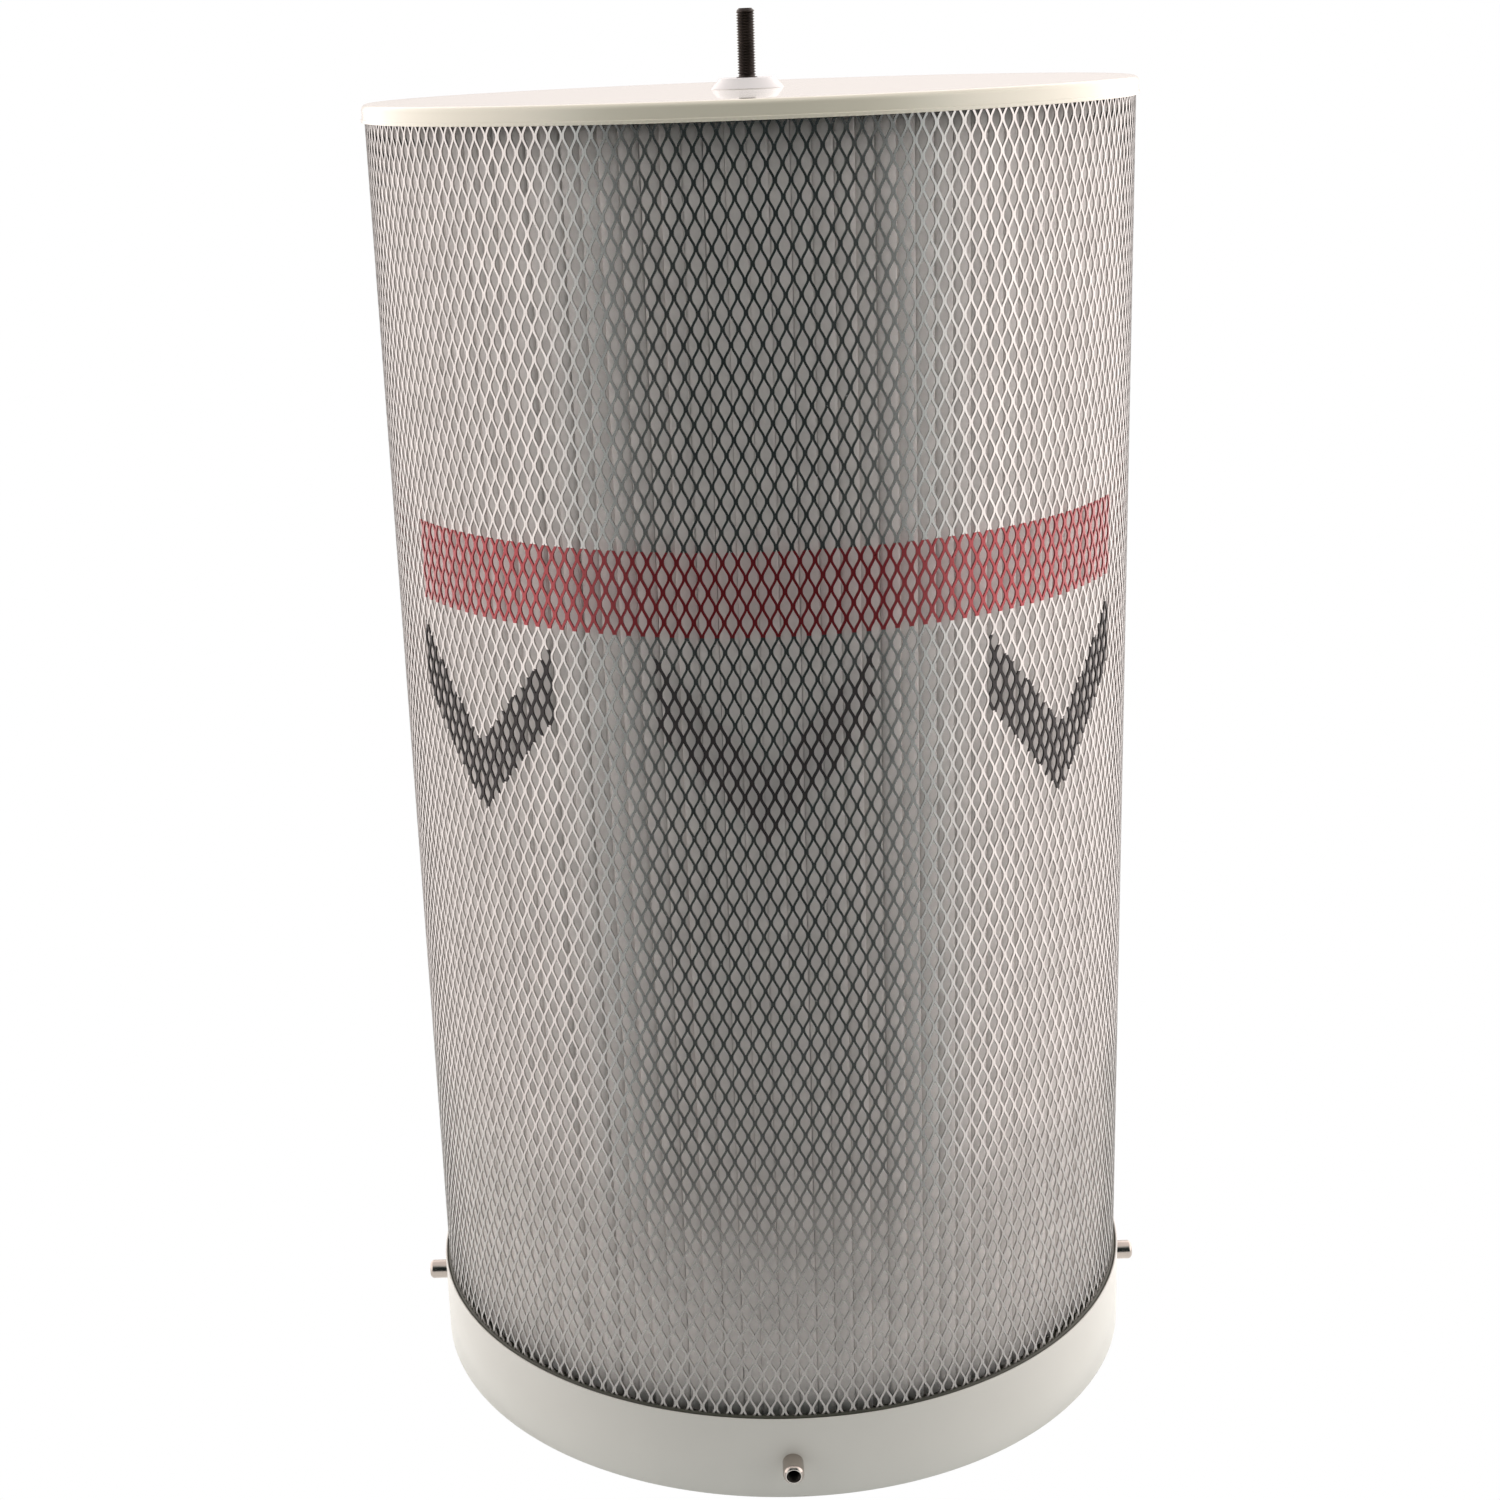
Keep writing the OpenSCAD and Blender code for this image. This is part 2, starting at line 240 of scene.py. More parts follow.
def galvanised(name, colour):
    """Zinc with spangles."""
    surface = Surface(name, colour, 0.42, metallic=0.9)
    crystals = surface.cells(140)
    surface.tint(crystals, 0.12)
    surface.rough(surface.noise(140), 0.12)
    surface.bump(surface.noise(500), 0.00003, strength=0.4)
    return surface.material


def spun_fabric(name, colour):
    """Spun-bonded polyester: short fibres, faint mottling, slight fuzz."""
    surface = Surface(name, colour, 0.93, sheen=0.9)
    surface.shader.inputs["Sheen Roughness"].default_value = 0.45
    fibres = surface.noise(1400, detail=4, vector=surface.stretched((1, 1, 0.25)))
    surface.tint(surface.noise(70, detail=6), 0.05)
    surface.rough(fibres, 0.05)
    surface.bump(fibres, 0.00003, strength=0.4)
    return surface.material


def soft_solid(name, colour, roughness, pore=700, depth=0.0001):
    """Rubber, foam, nylon or poured compound, with pores or a moulded grain."""
    surface = Surface(name, colour, roughness)
    surface.tint(surface.noise(35), 0.12)
    surface.rough(surface.noise(120), 0.08)
    surface.bump(surface.noise(pore, detail=3), depth, strength=0.5)
    return surface.material


CREAM = enamel("cream_enamel", (0.68, 0.675, 0.635), coat=0.25)
# The cap's cream is the ring's paint made lighter and yellower: painted warm light from above
CAP_CREAM_LIT = enamel("cap_enamel_painted_light", (0.80, 0.765, 0.635), coat=1.0)
SCREEN_METAL = rolled_metal("screen_metal", (0.44, 0.43, 0.42), 0.24)
BOSS_WHITE = enamel("boss_white", (0.88, 0.865, 0.885))
SCREEN_RED = enamel("screen_red", (0.27, 0.022, 0.029), spread=0.06, roughness=0.3, metallic=0.65)
SCREEN_BLACK = enamel("screen_black", (0.016, 0.012, 0.013), spread=0.1, roughness=0.6, coat=0.0)
FABRIC = spun_fabric("pleated_fabric", (0.95, 0.905, 0.882))
POTTING = soft_solid("potting_compound", (0.050, 0.052, 0.037), 0.5, pore=180, depth=0.0003)
FOAM = soft_solid("foam_gasket", (0.022, 0.022, 0.022), 0.95, pore=1500, depth=0.0004)
NICKEL = rolled_metal("bright_nickel", (0.48, 0.43, 0.395), 0.18, spread=0.03)
MACHINED = rolled_metal("machined_rim", (0.78, 0.76, 0.72), 0.3)
# Oiled thread, made near-black: painted shade inside the bushes' tapped holes
BORE_PAINTED_SHADE = rolled_metal("oily_thread_painted_shade", (0.05, 0.045, 0.04), 0.45, spread=0.2)
PLATED = rolled_metal("zinc_plated", (0.60, 0.60, 0.56), 0.30)
ZINC = galvanised("galvanised_steel", (0.52, 0.53, 0.54))
BLACKENED = rolled_metal("blackened_steel", (0.040, 0.030, 0.026), 0.34, spread=0.3, metallic=0.6)
NYLON = soft_solid("nylon", (0.74, 0.72, 0.66), 0.45)
FLAP = soft_solid("flap_rubber", (0.035, 0.034, 0.032), 0.75, pore=900)


# ---- The expanded-metal screen

COLUMNS = 174  # openings round the screen
PANELS = 12  # pieces that the screen's mesh is split into
OPENING_H = 18.28 * MM  # height of one opening
KNOT_Z = 732.4 * MM  # height of one row of knots
STRAND_W = 1.45 * MM  # width of a strand's face
PAINT_W = (0, 0.1 * MM, 0.3 * MM)  # how much wider paint makes a strand: bare, red, black
STRAND_T = 1.15 * MM  # depth of a strand
KNOT_OVERLAP = 0.15 * MM  # how far two strands sink into each other at a knot
# One strand from knot to knot: share of its height, sideways share of its swing
STRAND_PATH = ((0.0, 1.0), (0.15, 0.94), (0.30, 0.61), (0.5, 0.0), (0.70, -0.61), (0.85, -0.94))

# The red band and the three black chevrons: heights, and degrees from the front
BAND_Z = (595 * MM, 647 * MM)
BAND_AZ = (-61, 62)
MARK_Z = (465 * MM, 583 * MM)
MARK_AZ = (-47, -1, 47)
MARK_HALF_AZ = 15
MARK_STROKE = 46 * MM  # height of a chevron's stroke


def painted(azimuth, z):
    """0 for bare metal, 1 in the red band, 2 in one of the three black chevrons."""
    turn = np.degrees(azimuth)
    turn = (turn + 180) % 360 - 180
    slot = np.zeros(np.broadcast(turn, z).shape, np.int32)
    band = (turn > BAND_AZ[0]) & (turn < BAND_AZ[1]) & (z > BAND_Z[0]) & (z < BAND_Z[1])
    slot[band] = 1
    rise = MARK_Z[1] - MARK_Z[0] - MARK_STROKE
    for centre in MARK_AZ:
        across = np.abs(turn - centre) / MARK_HALF_AZ
        low = MARK_Z[0] + rise * across
        slot[(across < 1) & (z > low) & (z < low + MARK_STROKE)] = 2
    return slot


def screen_panel(index):
    """One piece of the screen: wavy strands that touch their neighbours at the knots."""
    half = OPENING_H / 2
    first = math.ceil((SCREEN_LOW[2] - KNOT_Z) / half)
    last = math.floor((SCREEN_HIGH[2] - KNOT_Z) / half)
    share, swing = (np.array(v) for v in zip(*STRAND_PATH))
    row = np.repeat(np.arange(first, last), len(share))
    share = np.tile(share, last - first)
    swing = np.tile(swing, last - first)
    z = KNOT_Z + (row + share) * half
    count = 2 * COLUMNS // PANELS
    wire = index * count + np.arange(count)
    radius = SCREEN_R - 0.05 * MM
    reach = radius * TAU / COLUMNS / 4 - STRAND_W / 2 + KNOT_OVERLAP
    side = np.where((wire[:, None] - row[None, :]) % 2 == 0, -1.0, 1.0)
    offset = side * swing[None, :] * reach
    slope = np.gradient(offset, z, axis=1)
    width = STRAND_W / 2 * np.sqrt(1 + np.minimum(np.abs(slope), 0.7) ** 2)
    middle = (wire[:, None] + 0.5) * TAU / COLUMNS / 2 + offset / radius
    width = width + np.array(PAINT_W)[painted(middle, z[None, :])] / 2
    corners = []
    for across, depth in ((-1, 0), (1, 0), (1, STRAND_T), (-1, STRAND_T)):
        corners.append(polar(radius - depth, middle + across * width / radius, z[None, :]))
    points = np.stack(corners, 2)
    levels = len(z)
    quads = grid_quads(levels, 4)
    block = np.arange(count)[:, None, None] * (levels * 4)
    body = (quads[None] + block).reshape(-1, 4)
    caps = np.array([[3, 2, 1, 0], np.arange(4) + (levels - 1) * 4])
    ends = (caps[None] + block).reshape(-1, 4)
    name = f"screen_panel_{index + 1}"
    ob = mesh_object(name, points.reshape(-1, 3), np.vstack([body, ends]), smooth=False)
    middle_z = np.repeat((z[:-1] + z[1:]) / 2, 4)[None, :]
    middle_az = np.repeat((middle[:, :-1] + middle[:, 1:]) / 2, 4, axis=1)
    slots = painted(middle_az, np.broadcast_to(middle_z, middle_az.shape))
    slots = np.concatenate([slots.ravel(), np.zeros(len(ends), np.int32)])
    dress(ob, "canister", "screen_metal", SCREEN_METAL, SCREEN_RED, SCREEN_BLACK, nodes=["outer_screen"])
    ob.data.polygons.foreach_set("material_index", slots)
    return ob


# ---- The pleated media

PLEATS = 124
PLEAT_DEPTH = 47.5 * MM  # from the outer tips to the inner ones
FABRIC_T = 0.9 * MM  # thickness of the cloth
# Half of one fold: share of the depth from the outer tips, share of half the pitch
FOLD_PATH = (
    (0.0, 0.0),
    (0.003, 0.30),
    (0.008, 0.58),
    (0.016, 0.80),
    (0.028, 0.95),
    (0.045, 0.99),
    (0.14, 0.99),
    (0.30, 0.96),
    (0.60, 0.89),
    (0.88, 0.83),
    (0.96, 0.86),
    (0.99, 0.93),
    (1.0, 1.0),
)


def pleated_media():
    """A closed folded sheet that runs in and out between the inner and the outer tips."""
    rng = np.random.default_rng(7)
    outer = MEDIA_HIGH[0] - 0.2 * MM
    levels = np.linspace(MEDIA_LOW[2], MEDIA_HIGH[2], 14)
    depth, across = (np.array(v) for v in zip(*FOLD_PATH))
    depth = np.concatenate([depth[::-1], depth[1:-1]])
    across = np.concatenate([-across[::-1], across[1:-1]])
    pitch = TAU / PLEATS
    tip_drop = rng.uniform(0, 1.6 * MM, PLEATS)
    shift = rng.normal(0, 0.005, (PLEATS, 3))
    phase = rng.uniform(0, TAU, PLEATS)
    fold = np.arange(PLEATS)[:, None]
    rings = []
    for z in levels:
        t = (z - levels[0]) / (levels[-1] - levels[0])
        lean = shift[:, 0] + shift[:, 1] * np.sin(TAU * t + phase)
        lean = lean + shift[:, 2] * np.cos(2 * TAU * t + phase)
        wander = lean[:, None] * (1 - depth[None, :])
        azimuth = (fold + 0.5 * across[None, :] + wander) * pitch
        r = outer - depth[None, :] * PLEAT_DEPTH - tip_drop[:, None] * (1 - depth[None, :])
        rings.append(polar(r.ravel(), azimuth.ravel(), z))
    front = np.array(rings)
    ahead, behind = np.roll(front, -1, axis=1), np.roll(front, 1, axis=1)
    along = (ahead - behind)[..., :2]
    along /= np.linalg.norm(along, axis=2, keepdims=True)
    inward = np.stack([-along[..., 1], along[..., 0], np.zeros(along.shape[:2])], -1)
    back = front + inward * FABRIC_T
    ring = np.stack([front, back], 0)
    n = front.shape[1]
    face = grid_quads(len(levels), n)
    rear = face[:, ::-1] + len(levels) * n
    j = np.arange(n)
    k = (j + 1) % n
    low_front, low_back = j, len(levels) * n + j
    top = (len(levels) - 1) * n
    rim_low = np.stack([low_back, len(levels) * n + k, k, low_front], 1)
    rim_top = np.stack([top + j, top + k, len(levels) * n + top + k, len(levels) * n + top + j], 1)
    ob = mesh_object("pleated_media", ring.reshape(-1, 3), np.vstack([face, rear, rim_low, rim_top]))
    return dress(ob, "canister", "filter_fabric", FABRIC, nodes=["filter_media"])


# ---- Cap, ring, potting and housing

SHEET = 1.5 * MM


def cap():
    """The cap: flat top, rounded shoulder, rim and a rolled hem, round the housing's neck."""
    rim = CAP_HIGH[0] - 0.8 * MM
    shoulder, hem = 3.5 * MM, 0.75 * MM
    low, top = CAP_LOW[2], CAP_HIGH[2]
    outline = [(13.2 * MM, top - SHEET), (13.2 * MM, top)]
    outline += [(r * MM, top) for r in (60, 120, 180, 230)]
    outline += arc(rim - shoulder, top - shoulder, shoulder, 90, 0, 10)
    outline += [(rim, low + 3.4 * MM), (rim + 0.1 * MM, low + 2.8 * MM)]
    outline += arc(rim + 0.8 * MM - hem, low + 2.4 * MM - hem, hem, 80, 0, 4)
    outline += arc(rim + 0.8 * MM - hem, low + hem, hem, 0, -90, 4)
    outline += [(rim - SHEET, low), (rim - SHEET, top - SHEET - 2 * MM)]
    outline += arc(rim - SHEET - 2 * MM, top - SHEET - 2 * MM, 2 * MM, 20, 90, 4)
    outline += [(120 * MM, top - SHEET)]
    ob = keep_corners(lathe("cap_shell", outline, 384), 50)
    # The cap's paint carries painted warm light from above
    return dress(ob, "canister", "cream_paint", CAP_CREAM_LIT, nodes=["top_cap"])


def ring():
    """The bottom ring: skirt with a rounded top edge, the seat plate and its upturned lip."""
    outer, inner = RING_R, RING_R - SHEET
    top = 60 * MM
    edge = SHEET / 2
    seat, seat_r, leg = 46 * MM, 192 * MM, 38 * MM
    lip_top = RING_HIGH[2]
    outline = [(inner + 0.2 * MM, 0), (outer - 0.4 * MM, 0), (outer, 0.4 * MM), (outer, 30 * MM)]
    outline += arc(outer - edge, top - edge, edge, 0, 180, 8)
    outline += [(inner, seat + SHEET), (seat_r + SHEET, seat + SHEET)]
    outline += [(seat_r + SHEET, lip_top - edge)]
    outline += arc(seat_r + edge, lip_top - edge, edge, 0, 180, 6)
    outline += [(seat_r, seat + 1 * MM), (seat_r + 1 * MM, seat)]
    outline += [(inner - SHEET, seat), (inner - SHEET, leg), (inner, leg), (inner, 0.2 * MM)]
    ob = keep_corners(lathe("ring_shell", outline, 384), 50)
    return dress(ob, "canister", "cream_paint", CREAM, nodes=["bottom_ring"])


def potting():
    """Poured compound at the foot, climbing a little up the screen, the pleats and the ring."""
    low = POTTING_LOW[2]
    rim = 60.6 * MM
    outer = RING_R - SHEET
    outline = [(193.5 * MM, low), (outer, low), (outer, 58.6 * MM), (outer - 0.4 * MM, 59.1 * MM)]
    outline += [(SCREEN_R + 0.6 * MM, rim - 0.5 * MM), (SCREEN_R + 0.2 * MM, rim)]
    outline += [(SCREEN_R - 1.3 * MM, rim), (SCREEN_R - 2 * MM, 57.5 * MM), (250 * MM, 56 * MM)]
    outline += [(225 * MM, 55.4 * MM), (199.5 * MM, 55.2 * MM), (197 * MM, 56 * MM)]
    outline += [(194.2 * MM, 56.4 * MM), (193.5 * MM, 57 * MM)]
    ob = keep_corners(lathe("potting_bead", outline, 256), 60)
    return dress(ob, "canister", "potting", POTTING, nodes=["bottom_potting"])


def housing():
    """The bearing housing: a low cone that blends into the cap, with its neck below."""
    foot, crown = HOUSING_HIGH[0], 19 * MM
    top, cap_z = HOUSING_HIGH[2], CAP_TOP
    low = HOUSING_LOW[2]
    outline = [(9 * MM, low), (12.6 * MM, low), (13 * MM, low + 0.4 * MM), (13 * MM, cap_z)]
    outline += [(foot, cap_z), (foot, cap_z + 0.4 * MM), (foot - 0.5 * MM, cap_z + 0.9 * MM)]
    outline += arc(crown - 1.2 * MM, top - 1.2 * MM, 1.2 * MM, 30, 90, 6)
    outline += [(8.2 * MM, top), (7.4 * MM, top - 0.5 * MM)]
    outline += [(7.4 * MM, top - 1 * MM), (9 * MM, top - 1 * MM)]
    ob = keep_corners(lathe("housing_shell", outline, 128), 40)
    return dress(ob, "canister", "cream_paint", BOSS_WHITE, nodes=["bearing_housing"])


# ---- Shaft, threads and clamp bushes


def thread(profile, low, high, pitch, segments):
    """Points of a screwed surface between two heights; profile gives the radius over one pitch."""
    rows = int((high - low) / pitch * 8) + 1
    azimuth = np.arange(segments) * TAU / segments
    z = np.linspace(low, high, rows)[:, None]
    turns = (z / pitch - azimuth[None, :] / TAU) % 1.0
    return profile(turns), np.broadcast_to(azimuth, turns.shape), np.broadcast_to(z, turns.shape)


def v_groove(major, depth, flat=0.2):
    """Radius over a pitch of a 60-degree thread with flat crests."""

    def radius(turn):
        """Radius at each share of a turn."""
        dip = np.clip((0.5 - flat / 2 - np.abs(turn - 0.5)) / (0.5 - flat), 0, 1)
        return major - depth * dip

    return radius


def shaft():
    """The agitator shaft with its real M12 thread at the top and a groove for the retaining ring."""
    stud, rod = 6 * MM, 7 * MM
    shoulder = SHAFT_HIGH[2] - 43.5 * MM
    low, top = SHAFT_LOW[2], SHAFT_HIGH[2]
    chamfer = 1.6 * MM
    seg = 48
    groove_form = v_groove(stud, 0.95 * MM)
    radius, azimuth, z = thread(groove_form, shoulder + 1.2 * MM, top - chamfer, 1.75 * MM, seg)
    blend = np.clip((top - chamfer - z) / (1.5 * MM), 0.35, 1)
    radius = stud - (stud - radius) * blend
    groove = 45.5 * MM
    below = [(0.0005, low), (rod - 1 * MM, low), (rod, low + 1 * MM), (rod, groove)]
    below += [(rod - 0.8 * MM, groove), (rod - 0.8 * MM, groove + 1.2 * MM), (rod, groove + 1.2 * MM)]
    below += [(rod, shoulder - 0.3 * MM), (rod - 0.3 * MM, shoulder), (stud - 0.5 * MM, shoulder)]
    below += [(stud - 0.5 * MM, shoulder + 1 * MM)]
    above = [(stud - 0.9 * MM, top - 0.9 * MM), (stud - 1.7 * MM, top), (0.0005, top)]
    ring_az = azimuth[0]
    parts = [polar(np.full(seg, r), ring_az, height) for r, height in below]
    parts += list(polar(radius, azimuth, z))
    parts += [polar(np.full(seg, r), ring_az, height) for r, height in above]
    points = np.array(parts)
    quads = grid_quads(len(parts), seg, close_rows=True)
    ob = keep_corners(mesh_object("threaded_shaft", points.reshape(-1, 3), quads), 30)
    return dress(ob, "agitator", "black_oxide", BLACKENED, nodes=["agitator_shaft"])


def clamp_bush(side):
    """A nickel-plated bush with a tapped hole, pointing away from the canister."""
    node = f"clamp_bush_{side}"
    low, high = (Vector(corner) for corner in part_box(node))
    centre = (low + high) / 2
    outward = Vector((centre.x, centre.y, 0)).normalized()
    inner, outer = centre.xy.length - 8.1 * MM, centre.xy.length + 8.1 * MM
    seg = 48
    wall = 7 * MM
    groove_form = v_groove(5 * MM, 0.75 * MM, 0.15)
    radius, azimuth, z = thread(groove_form, inner + 0.5 * MM, outer - 0.9 * MM, 1.5 * MM, seg)
    radius = np.maximum(radius, 4.25 * MM)
    skin = [(4.4 * MM, inner), (wall, inner), (wall, outer - 2.3 * MM)]
    skin += [(wall - 0.25 * MM, outer - 1.5 * MM), (wall - 0.8 * MM, outer - 0.7 * MM)]
    skin += [(wall - 1.4 * MM, outer - 0.25 * MM)]
    skin += [(wall - 1.7 * MM, outer), (4.8 * MM, outer), (4.5 * MM, outer - 0.6 * MM)]
    parts = [np.stack([np.full(seg, r), azimuth[0], np.full(seg, height)], -1) for r, height in skin]
    inside = np.stack([radius, azimuth, z], -1)[::-1]
    cyl = np.array(parts + list(inside))
    points = polar(cyl[..., 0], cyl[..., 1], cyl[..., 2]).reshape(-1, 3)
    turn = outward.to_track_quat("Z", "Y").to_matrix()
    points = points @ np.array(turn).T
    points[:, 2] += centre.z
    quads = grid_quads(len(cyl), seg, close_rows=True)
    ob = keep_corners(mesh_object(f"bush_{side}", points, quads), 35)
    dress(ob, "canister", "bright_plating", NICKEL, MACHINED, BORE_PAINTED_SHADE, nodes=[node])
    # The front face takes the machined rim, the hole the near-black bore material: painted shade
    step = quads[:, 0] // seg - (len(skin) - 4)
    ob.data.polygons.foreach_set("material_index", np.clip(step, 0, 2).astype(np.int32))
    return ob


# ---- Materials of the CAD pieces that stay

KEPT = {
    PLATED: ["housing_washer", "housing_nut", "cross_bar_rivets", "shaft_washer", "retaining_ring",
             "paddle_screws_a", "paddle_screws_b", "paddle_nuts_a", "paddle_nuts_b",
             "arm_bolts", "arm_washers"],
    NYLON: ["top_bush", "bottom_bush"],
    POTTING: ["top_potting"],
    FOAM: ["seal_gasket"],
    ZINC: ["screen_seam", "cross_bar", "upper_collar", "lower_collar", "upper_arm", "lower_arm",
           "paddle_rail_a", "paddle_rail_b", "clamp_strip_a", "clamp_strip_b"],
    BLACKENED: ["collar_screws", "hub_screws"],
    FLAP: ["paddle_flap_a", "paddle_flap_b"],
}


def finish_kept_nodes():
    """Gives each CAD node that stays its material and slightly broken edges."""
    for material, names in KEPT.items():
        for name in names:
            ob = frame["nodes"][name]
            ob.data.materials.clear()
            ob.data.materials.append(material)
            edge = ob.modifiers.new("edge", "BEVEL")
            edge.width = 0.25 * MM
            edge.segments = 2
            edge.limit_method = "ANGLE"
            edge.angle_limit = math.radians(50)


# ---- Stage, light and camera

FLOOR_R = 0.62  # radius of the paper in metres
FLOOR_SHADE_EASE_Y = (-1.1, 0.2)  # where the paper's painted shade gives way to light, from the front to the back
FLOOR_PAINTED_GLOW = 0.35  # painted glow: light the paper gives off itself, though it is no lamp
# Colour of the paper, from painted shade at the front to light at the back
FLOOR_LIGHT, FLOOR_PAINTED_SHADE = (0.93, 0.95, 0.94), (0.03, 0.034, 0.034)
OPENING_DARK, OPENING_EDGE = 30, 70  # degrees from the front at which dark ends and light begins
OPENING_BOTTOM = 0.22  # how light the opening is below
# Parts of the unit direction between which each step of the light runs
OPENING_BOTTOM_Z = (-0.42, -0.66)
TOP_Z = (0.66, 0.98)
BEHIND_Y = (0.84, 0.98)
LOW_Z = (-0.75, -0.1)
ABOVE_Z = (0.3, 0.95)
LIGHT_LEVEL = 2.15
LIGHT_COLOUR = (1.0, 0.925, 0.895, 1)
EDGE_COLOUR = (0.47, 0.50, 0.49, 1)  # half-way between the dark opening and the light
FRONT_COLOUR = (0.010, 0.0145, 0.0145, 1)  # straight in front
LIGHT_LEFT, LIGHT_RIGHT = 0.93, 1.13  # shares of the light's level at each side
LIGHT_BEHIND = 0.40  # share of the light left straight behind the object
LIGHT_ABOVE = 0.52  # share of the light left straight overhead
LIGHT_LOW = 0.65  # share of the light left below

CAMERA_PLACE = (-0.0293, -1.5270, 0.9392)
CAMERA_TURN = (73.478, 2.144, 0.509)  # degrees about X, Y and Z
CAMERA_LENS = 53.216  # millimetres, on a sensor 36 mm wide
CAMERA_SHIFT = (0.0461, -0.0368)


def lit_apart(tree, seen, lit, output):
    """Sends one shader to the camera and another to every other ray."""
    mix = tree.nodes.new("ShaderNodeMixShader")
    path = tree.nodes.new("ShaderNodeLightPath")
    tree.links.new(path.outputs["Is Camera Ray"], mix.inputs["Fac"])
    tree.links.new(lit, mix.inputs[1])
    tree.links.new(seen, mix.inputs[2])
    tree.links.new(mix.outputs["Shader"], output)


def eased(tree, value, start, full, low=0.0, high=1.0):
    """A smooth step from low to high as value goes from start to full."""
    node = tree.nodes.new("ShaderNodeMapRange")
    node.interpolation_type = "SMOOTHSTEP"
    node.inputs["From Min"].default_value = start
    node.inputs["From Max"].default_value = full
    node.inputs["To Min"].default_value = low
    node.inputs["To Max"].default_value = high
    tree.links.new(value, node.inputs["Value"])
    return node.outputs["Result"]


def combined(tree, operation, first, *others):
    """Joins several values with one math operation."""
    for other in others:
        node = tree.nodes.new("ShaderNodeMath")
        node.operation = operation
        tree.links.new(first, node.inputs[0])
        tree.links.new(other, node.inputs[1])
        first = node.outputs["Value"]
    return first


def stage():
    """A round sheet of paper with painted shade towards the front and a painted glow, burnt out to white
    as in a catalogue picture.
    """
    edge = polar(FLOOR_R, np.arange(96) * TAU / 96, 0.0)
    rings = np.concatenate([edge * 0.01, edge * 0.5, edge])
    ob = mesh_object("floor", rings, grid_quads(3, 96))
    surface = Surface("floor_paper_painted_shade_and_glow", FLOOR_LIGHT, 0.9)
    split = surface.tree.nodes.new("ShaderNodeSeparateXYZ")
    surface.link(surface.place, split.inputs["Vector"])
    # Painted shade: the paper's colour and its painted glow grow darker towards the front
    back = eased(surface.tree, split.outputs["Y"], *FLOOR_SHADE_EASE_Y)
    colour = surface.ramp(back, FLOOR_PAINTED_SHADE, FLOOR_LIGHT, 0, 1)
    surface.link(colour, surface.shader.inputs["Base Color"])
    surface.link(colour, surface.shader.inputs["Emission Color"])
    surface.shader.inputs["Emission Strength"].default_value = FLOOR_PAINTED_GLOW
    surface.rough(surface.noise(30), 0.03)
    white = surface.tree.nodes.new("ShaderNodeEmission")
    paper = surface.shader.outputs["BSDF"]
    output = surface.tree.nodes["Material Output"]
    lit_apart(surface.tree, white.outputs["Emission"], paper, output.inputs["Surface"])
    ob.data.materials.append(surface.material)


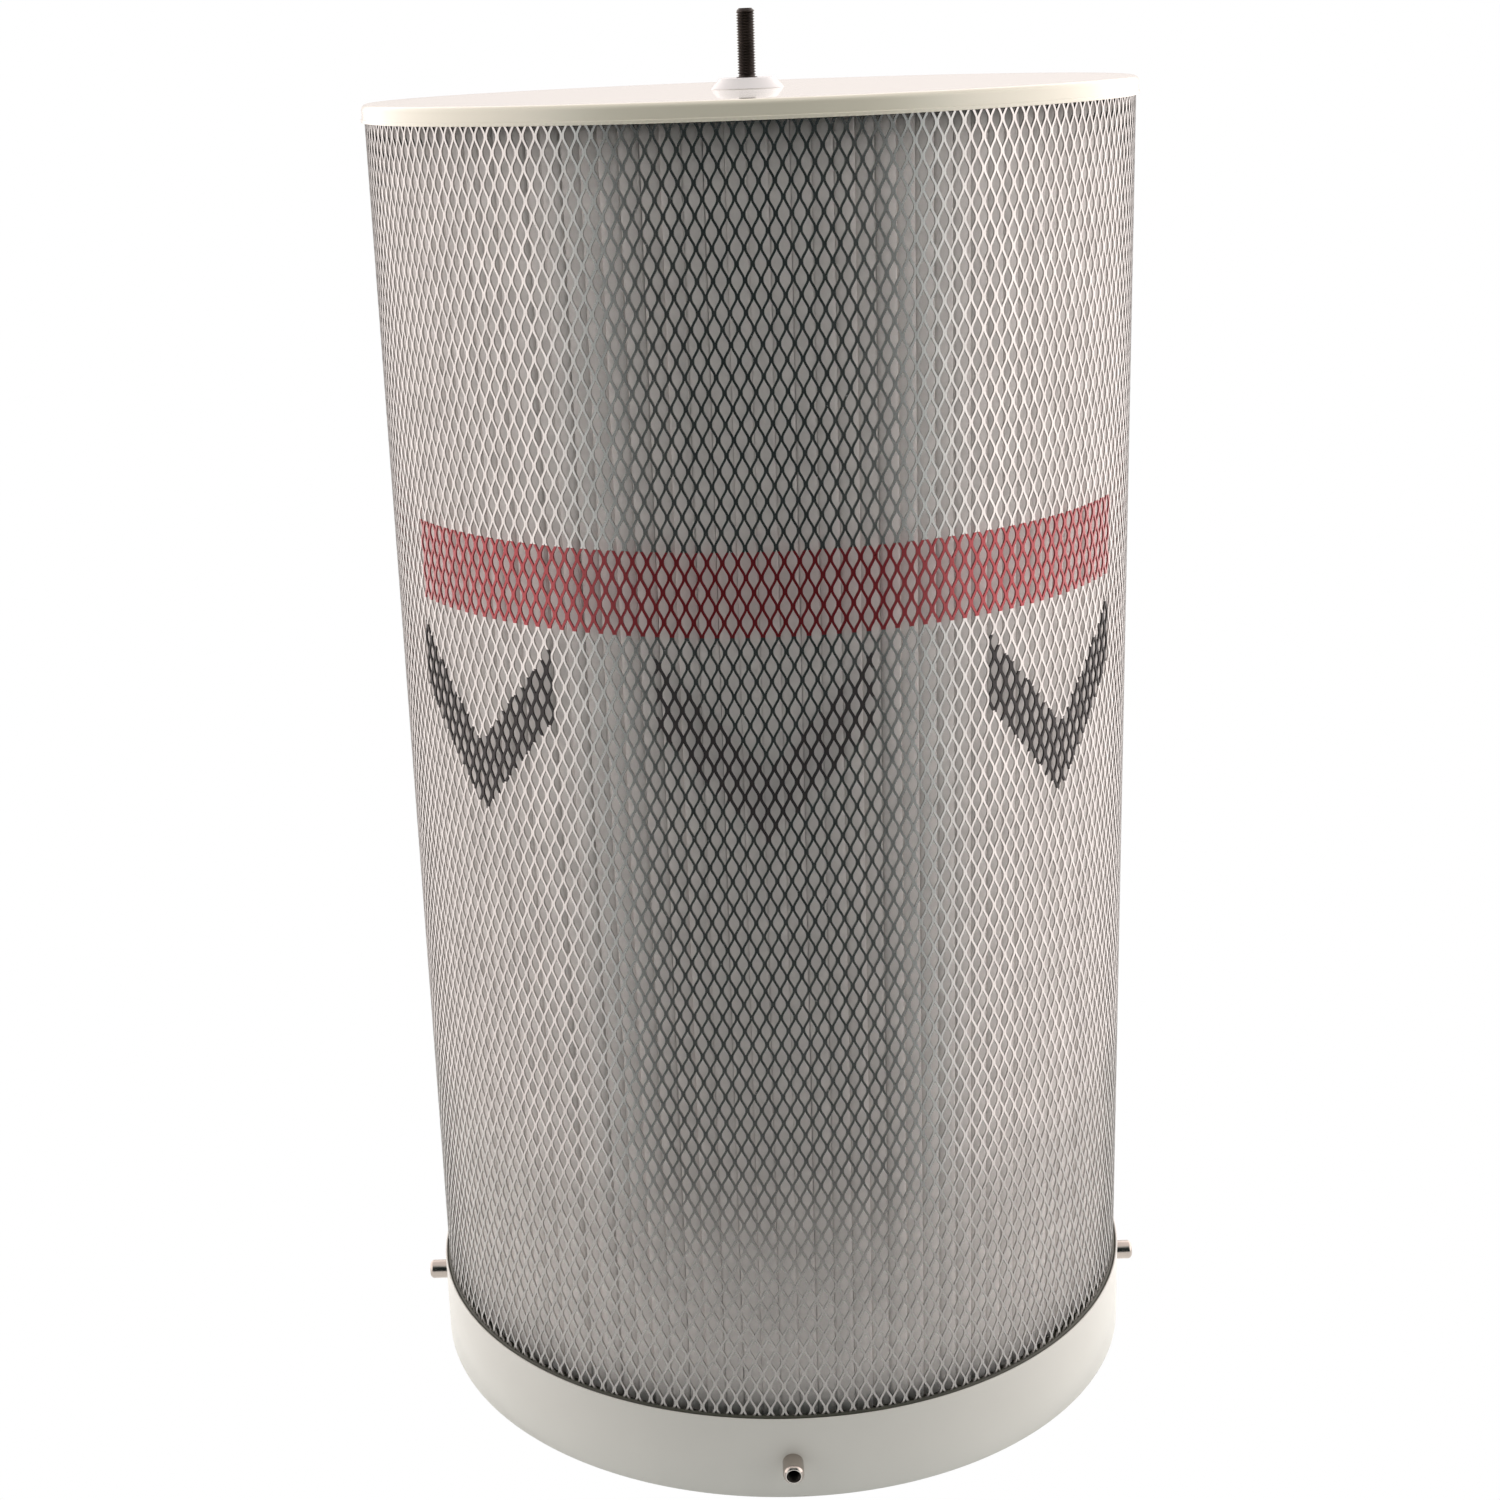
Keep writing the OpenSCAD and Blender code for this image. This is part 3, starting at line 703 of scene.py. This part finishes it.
def world():
    """A tent of light at the sides, behind and overhead, with a dark opening towards the front."""
    studio = bpy.data.worlds.new("studio")
    bpy.context.scene.world = studio
    studio.use_nodes = True
    tree = studio.node_tree
    tree.nodes.clear()
    output = tree.nodes.new("ShaderNodeOutputWorld")
    seen, lit = (tree.nodes.new("ShaderNodeBackground") for _ in range(2))
    seen.inputs["Color"].default_value = (1, 1, 1, 1)
    place = tree.nodes.new("ShaderNodeTexCoord").outputs["Generated"]
    split = tree.nodes.new("ShaderNodeSeparateXYZ")
    tree.links.new(place, split.inputs["Vector"])
    level, unit, front = (tree.nodes.new("ShaderNodeVectorMath") for _ in range(3))
    level.operation, unit.operation, front.operation = "MULTIPLY", "NORMALIZE", "DOT_PRODUCT"
    level.inputs[1].default_value = (1, 1, 0)
    front.inputs[1].default_value = (0, -1, 0)
    tree.links.new(place, level.inputs[0])
    tree.links.new(level.outputs["Vector"], unit.inputs[0])
    tree.links.new(unit.outputs["Vector"], front.inputs[0])
    turn_start, turn_full = (math.cos(math.radians(v)) for v in (OPENING_DARK, OPENING_EDGE))
    wall = eased(tree, front.outputs["Value"], turn_start, turn_full)
    top = eased(tree, split.outputs["Z"], *TOP_Z)
    bottom = eased(tree, split.outputs["Z"], *OPENING_BOTTOM_Z, 0.0, OPENING_BOTTOM)
    light = combined(tree, "MAXIMUM", wall, top, bottom)
    ramp = tree.nodes.new("ShaderNodeValToRGB")
    ramp.color_ramp.elements[0].color = FRONT_COLOUR
    ramp.color_ramp.elements[1].color = LIGHT_COLOUR
    ramp.color_ramp.elements.new(0.5).color = EDGE_COLOUR
    tree.links.new(light, ramp.inputs["Fac"])
    side = eased(tree, split.outputs["X"], -1, 1, LIGHT_LEVEL * LIGHT_LEFT, LIGHT_LEVEL * LIGHT_RIGHT)
    behind = eased(tree, split.outputs["Y"], *BEHIND_Y, 1.0, LIGHT_BEHIND)
    rise = eased(tree, split.outputs["Z"], *LOW_Z, LIGHT_LOW, 1.0)
    above = eased(tree, split.outputs["Z"], *ABOVE_Z, 1.0, LIGHT_ABOVE)
    strength = combined(tree, "MULTIPLY", side, behind, rise, above)
    tree.links.new(ramp.outputs["Color"], lit.inputs["Color"])
    tree.links.new(strength, lit.inputs["Strength"])
    lit_apart(tree, seen.outputs["Background"], lit.outputs["Background"], output.inputs["Surface"])


def camera():
    """The camera of the catalogue picture."""
    data = bpy.data.cameras.new("camera")
    data.sensor_width = 36
    data.lens = CAMERA_LENS
    data.shift_x, data.shift_y = CAMERA_SHIFT
    data.clip_end = 100
    ob = bpy.data.objects.new("camera", data)
    ob.location = CAMERA_PLACE
    ob.rotation_euler = [math.radians(v) for v in CAMERA_TURN]
    bpy.context.scene.collection.objects.link(ob)
    bpy.context.scene.camera = ob


camera()
world()
stage()

for number in range(PANELS):
    screen_panel(number)
pleated_media()
cap()
ring()
potting()
housing()
shaft()
for where in ("front", "right", "rear", "left"):
    clamp_bush(where)
finish_kept_nodes()

bpy.context.scene.view_settings.view_transform = "Standard"
